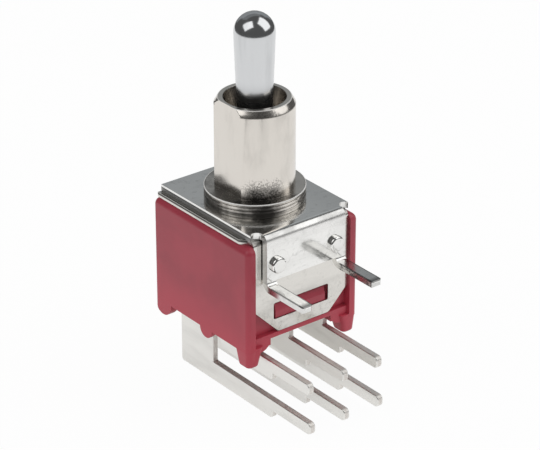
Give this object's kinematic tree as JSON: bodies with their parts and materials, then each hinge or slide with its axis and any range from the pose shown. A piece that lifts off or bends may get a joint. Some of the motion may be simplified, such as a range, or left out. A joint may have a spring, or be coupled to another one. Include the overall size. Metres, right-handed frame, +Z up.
{
  "type": "toggle switch",
  "caption": "Miniature right-angle toggle switch: a tapered lever in a smooth bushing on a moulded case, with L-shaped board terminals and a folded mounting bracket.",
  "frame": {"origin": "on the bushing's axis at the face of its flange, where a panel seats", "axes": "+Z runs up the bushing and the lever at rest, +X is the way the lever tilts, and -Y is the way the pins point, towards the circuit board"},
  "size_m": [0.0082, 0.0133, 0.0233],
  "materials": {
    "red_moulding": "satin moulded thermoset, dark red",
    "tinned_bracket": "bright tin plating",
    "tinned_sheet": "bright tin plating",
    "tinned_terminal": "tin-plated copper alloy",
    "nickel_plate": "nickel-plated brass, turned",
    "chrome_plate": "chrome-plated brass, polished",
    "acetal": "natural moulded acetal",
    "plunger_brass": "bare turned brass",
    "contact_silver": "silver-plated copper alloy",
    "spring_steel": "bright spring wire",
    "epoxy": "cast epoxy, dark"
  },
  "bodies": {
    "housing": {"case": "red_moulding", "frame": "tinned_sheet", "mounting_bracket": "tinned_bracket", "bushing": "nickel_plate", "terminal_seal": "epoxy", "rear_left_terminal": "tinned_terminal", "rear_common_terminal": "tinned_terminal", "rear_right_terminal": "tinned_terminal", "front_left_terminal": "tinned_terminal", "front_common_terminal": "tinned_terminal", "front_right_terminal": "tinned_terminal"},
    "lever": {"lever": "chrome_plate", "pivot_pin": "spring_steel"},
    "actuator": {"actuator": "acetal", "rear_spring": "spring_steel", "front_spring": "spring_steel"},
    "rear_plunger": {"rear_plunger": "plunger_brass"},
    "front_plunger": {"front_plunger": "plunger_brass"},
    "rear_rocker": {"rear_rocker": "contact_silver"},
    "front_rocker": {"front_rocker": "contact_silver"}
  },
  "joints": [
    {"name": "lever_tilt", "type": "hinge", "parent": "housing", "child": "lever", "pos_m": [0, 0, 0.0024], "axis": [0, 1, 0], "range_deg": [-12.5, 12.5]},
    {"name": "actuator_slide", "type": "slide", "parent": "housing", "child": "actuator", "axis": [1, 0, 0], "range_m": [-0.00112, 0.00112]},
    {"name": "rear_rocker_tilt", "type": "hinge", "parent": "housing", "child": "rear_rocker", "pos_m": [0, 0.0022, -0.006], "axis": [0, 1, 0], "range_deg": [-8.05, 8.05]},
    {"name": "front_rocker_tilt", "type": "hinge", "parent": "housing", "child": "front_rocker", "pos_m": [0, -0.00177, -0.006], "axis": [0, 1, 0], "range_deg": [-8.05, 8.05]},
    {"name": "rear_plunger_slide", "type": "slide", "parent": "actuator", "child": "rear_plunger", "axis": [0, 0, 1], "range_m": [0, 0.00025], "stiffness_N_per_m": 600, "deforming": ["rear_spring"]},
    {"name": "front_plunger_slide", "type": "slide", "parent": "actuator", "child": "front_plunger", "axis": [0, 0, 1], "range_m": [0, 0.00025], "stiffness_N_per_m": 600, "deforming": ["front_spring"]}
  ],
  "couplings": [
    {"joint": "lever_tilt", "follows": "actuator_slide", "rad_per_m": -194.18},
    {"joint": "rear_rocker_tilt", "follows": "actuator_slide", "rad_per_m": 124.27},
    {"joint": "front_rocker_tilt", "follows": "actuator_slide", "rad_per_m": 124.27}
  ]
}
